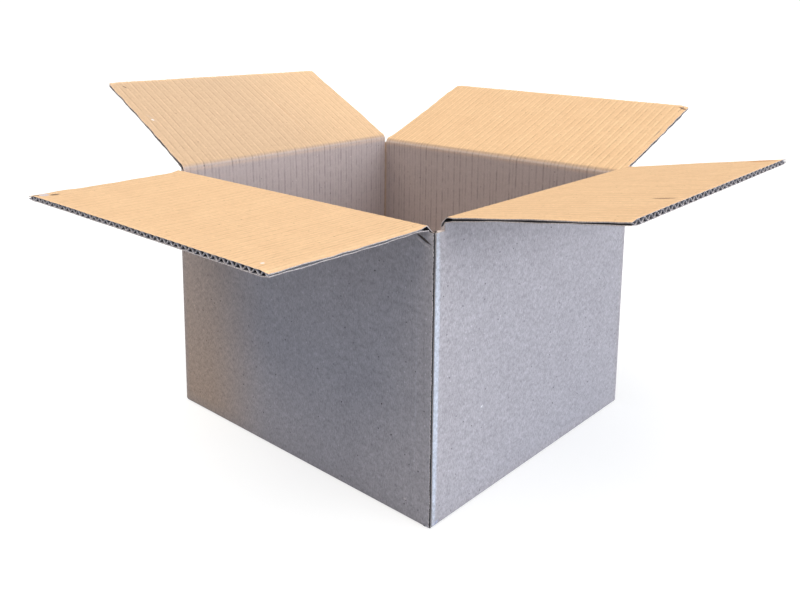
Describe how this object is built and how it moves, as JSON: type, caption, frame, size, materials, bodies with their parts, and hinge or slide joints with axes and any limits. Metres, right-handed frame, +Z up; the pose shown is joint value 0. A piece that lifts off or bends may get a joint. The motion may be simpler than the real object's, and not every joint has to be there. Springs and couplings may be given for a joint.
{
  "type": "open cardboard box",
  "caption": "Open corrugated cardboard box on a flat base, with rectangular walls, a folded bottom and hinged top flaps that swing from hanging outside to closed over the top.",
  "frame": {"origin": "middle of the base, on the surface that the box stands on", "axes": "+Z up, +X along the front wall from the left wall to the right wall, -Y out of the front wall"},
  "size_m": [0.5476, 0.5316, 0.2978],
  "materials": {
    "kraft_board": "matt brown paper liner over fluted medium"
  },
  "bodies": {
    "box_body": {"box_body": "kraft_board"},
    "front_flap": {"front_flap": "kraft_board"},
    "right_flap": {"right_flap": "kraft_board"},
    "back_flap": {"back_flap": "kraft_board"},
    "left_flap": {"left_flap": "kraft_board"}
  },
  "joints": [
    {"name": "front_flap_fold", "type": "hinge", "parent": "box_body", "child": "front_flap", "pos_m": [0, -0.13615, 0.2217], "axis": [-1, 0, 0], "range_deg": [-83.7, 181.3]},
    {"name": "right_flap_fold", "type": "hinge", "parent": "box_body", "child": "right_flap", "pos_m": [0.15015, 0, 0.226], "axis": [0, -1, 0], "range_deg": [-94.8, 170.2]},
    {"name": "back_flap_fold", "type": "hinge", "parent": "box_body", "child": "back_flap", "pos_m": [0, 0.13615, 0.2217], "axis": [1, 0, 0], "range_deg": [-105.7, 159.3]},
    {"name": "left_flap_fold", "type": "hinge", "parent": "box_body", "child": "left_flap", "pos_m": [-0.15015, 0, 0.226], "axis": [0, 1, 0], "range_deg": [-115.6, 149.4]}
  ]
}
